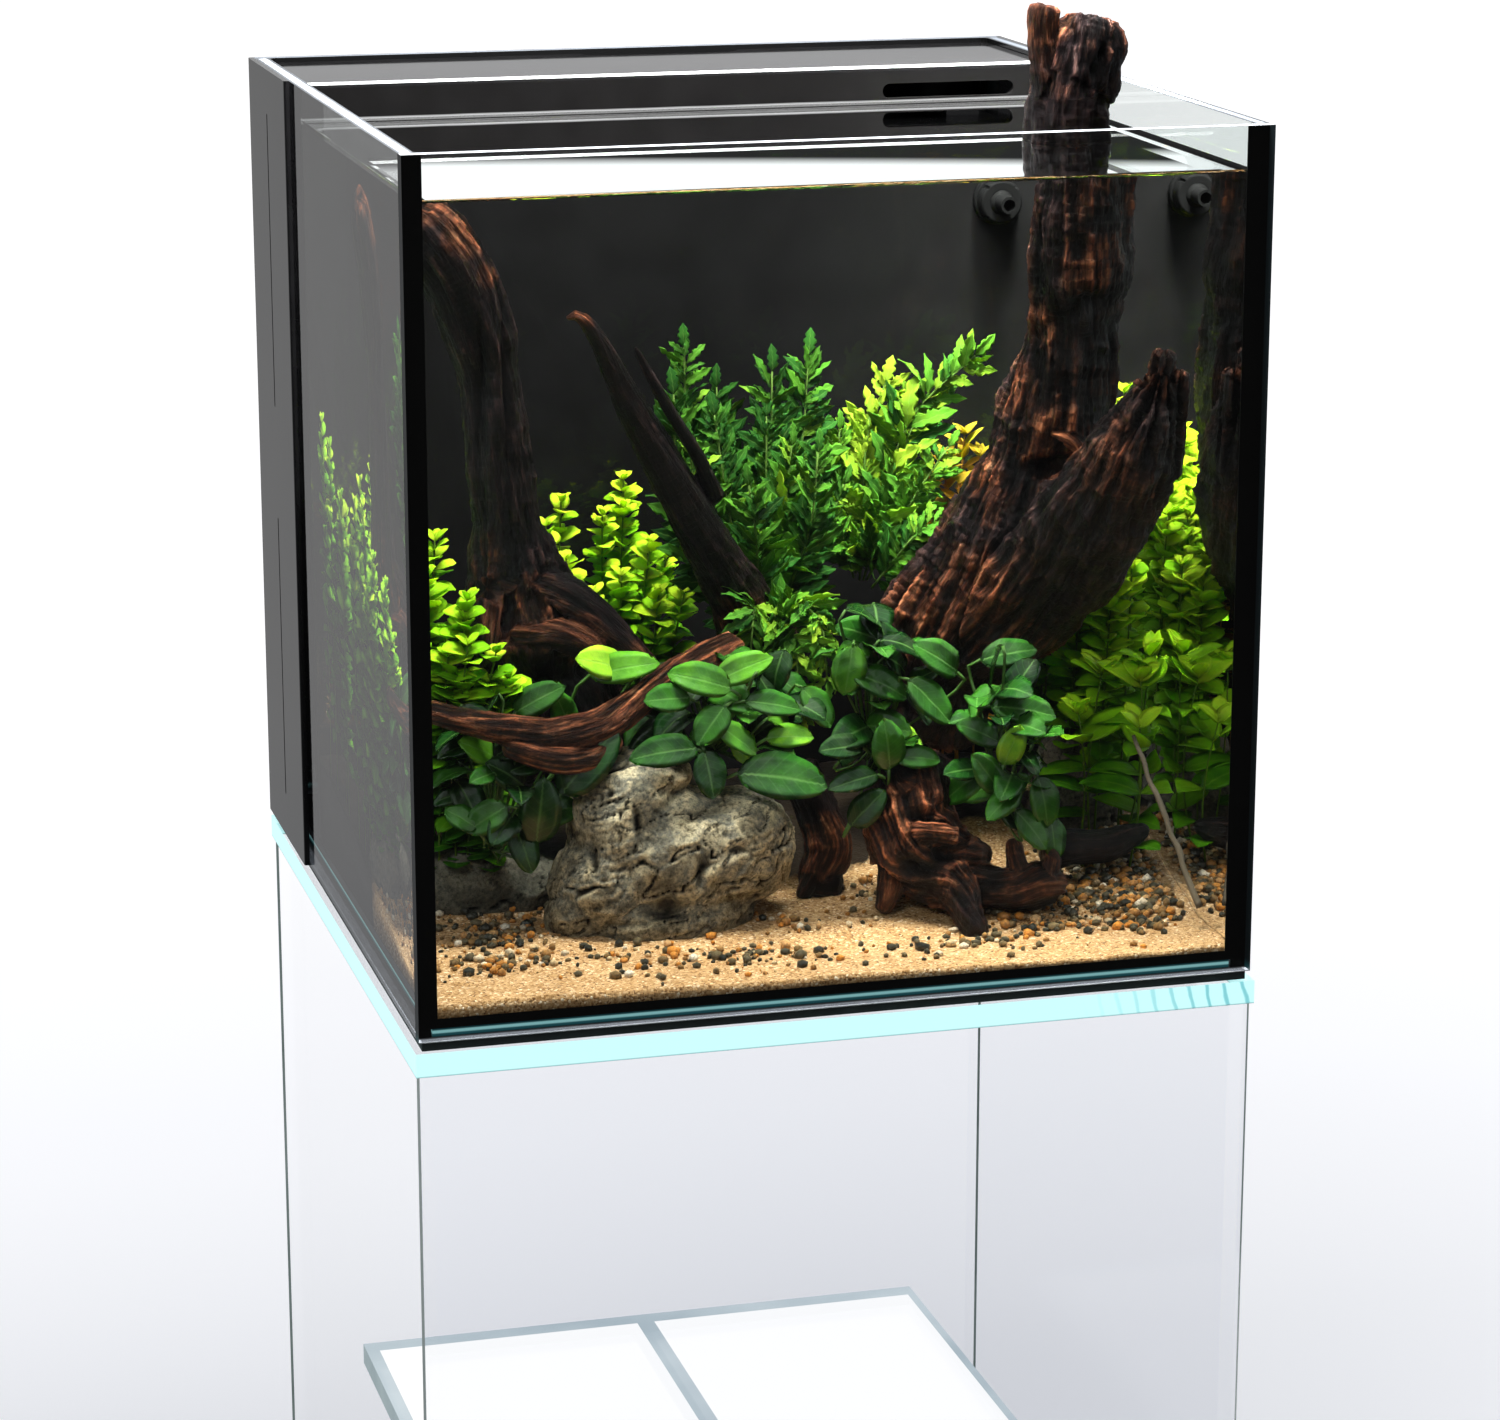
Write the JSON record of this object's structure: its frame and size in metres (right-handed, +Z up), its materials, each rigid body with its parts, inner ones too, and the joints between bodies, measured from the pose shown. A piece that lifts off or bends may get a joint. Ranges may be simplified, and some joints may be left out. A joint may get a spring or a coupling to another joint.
{
  "type": "aquarium on stand",
  "caption": "Rimless cube glass aquarium with a rear filter chamber and a planted driftwood scape, standing on an all-glass pedestal with an inner shelf.",
  "frame": {"origin": "middle of the footprint on the floor", "axes": "+Z up, the viewing pane faces -Y, the filter chamber is at +Y"},
  "size_m": [0.456, 0.454, 1.2159],
  "materials": {
    "stand_glass": "polished low-iron float glass with pale cyan edges",
    "tank_glass": "polished low-iron float glass",
    "clear_rubber": "clear bump-on pads",
    "black_foam": "matte closed-cell foam",
    "black_silicone": "satin black silicone",
    "black_acrylic": "gloss black acrylic sheet",
    "black_plastic": "satin moulded black plastic",
    "grey_plastic": "satin moulded grey plastic",
    "rotor_plastic": "moulded rotor on a magnet",
    "ceramic_pin": "ground ceramic pin",
    "hose_rubber": "smoky flexible hose",
    "blue_sponge": "open-cell filter foam",
    "white_floss": "fibrous filter wool",
    "ceramic_rings": "porous ceramic",
    "driftwood": "waterlogged red-brown driftwood",
    "twig": "thin bare plant stem",
    "grey_rock": "weathered creviced stone",
    "dark_rock": "dark weathered stone",
    "sand": "fine tan sand with mixed gravel",
    "anubias_leaf": "thick waxy leaves",
    "fern_leaf": "translucent cut fern leaves",
    "red_leaf": "reddish stem plant leaves",
    "bright_leaf": "bright yellow-green leaves"
  },
  "bodies": {
    "root": {"anubias_centre": "anubias_leaf", "anubias_left": "anubias_leaf", "anubias_middle": "anubias_leaf", "anubias_right": "anubias_leaf", "baffle_intake": "black_acrylic", "baffle_weir": "black_acrylic", "boulder": "grey_rock", "broad_leaf_right": "bright_leaf", "ceramic_media": "ceramic_rings", "driftwood_branch": "driftwood", "driftwood_chunk": "driftwood", "driftwood_front_root": "driftwood", "driftwood_left": "driftwood", "driftwood_offcuts": "driftwood", "driftwood_right": "driftwood", "fern_centre": "fern_leaf", "fern_right": "fern_leaf", "filter_floss": "white_floss", "filter_sponge": "blue_sponge", "leaning_twig": "twig", "levelling_mat": "black_foam", "lid_ledges": "black_acrylic", "media_basket": "black_plastic", "nozzle_bulkhead": "black_plastic", "nozzle_nut": "black_plastic", "partition_wall": "black_acrylic", "pump_body": "black_plastic", "pump_intake_cover": "black_plastic", "pump_shaft": "ceramic_pin", "pump_suction_feet": "clear_rubber", "red_stem_plant": "red_leaf", "return_elbow": "black_plastic", "return_hose": "hose_rubber", "rocks_small": "dark_rock", "sand_bed": "sand", "side_cover_left": "black_acrylic", "side_cover_right": "black_acrylic", "silicone_bottom": "black_silicone", "silicone_corners": "black_silicone", "stand_base_plate": "stand_glass", "stand_front_panel": "stand_glass", "stand_left_panel": "stand_glass", "stand_pads": "clear_rubber", "stand_right_panel": "stand_glass", "stand_shelf": "stand_glass", "stand_top_plate": "stand_glass", "stand_web": "stand_glass", "stem_plant_left": "bright_leaf", "stem_plant_middle": "bright_leaf", "stem_plant_right": "bright_leaf", "tank_back_pane": "tank_glass", "tank_bottom_pane": "tank_glass", "tank_front_pane": "tank_glass", "tank_left_pane": "tank_glass", "tank_right_pane": "tank_glass"},
    "lid": {"rear_lid": "black_acrylic"},
    "nozzle_collar": {"nozzle_collar": "black_plastic"},
    "nozzle_ball": {"nozzle_ball": "black_plastic"},
    "pump_rotor": {"pump_rotor": "rotor_plastic"},
    "flow_dial": {"pump_flow_dial": "grey_plastic"}
  },
  "joints": [
    {"name": "lid_lift", "type": "slide", "parent": "root", "child": "lid", "axis": [0, 0, 1], "range_m": [0, 0.15]},
    {"name": "nozzle_swivel", "type": "hinge", "parent": "root", "child": "nozzle_collar", "pos_m": [0.159, 0.0985, 1.096], "axis": [0, 1, 0], "continuous": true},
    {"name": "nozzle_tilt", "type": "hinge", "parent": "nozzle_collar", "child": "nozzle_ball", "pos_m": [0.159, 0.0985, 1.096], "axis": [1, 0, 0], "range_deg": [-15, 15]},
    {"name": "rotor_spin", "type": "hinge", "parent": "root", "child": "pump_rotor", "pos_m": [-0.12, 0.15, 0.755], "axis": [1, 0, 0], "continuous": true},
    {"name": "flow_dial_turn", "type": "hinge", "parent": "root", "child": "flow_dial", "pos_m": [-0.154, 0.15, 0.755], "axis": [1, 0, 0], "range_deg": [0, 90]}
  ]
}
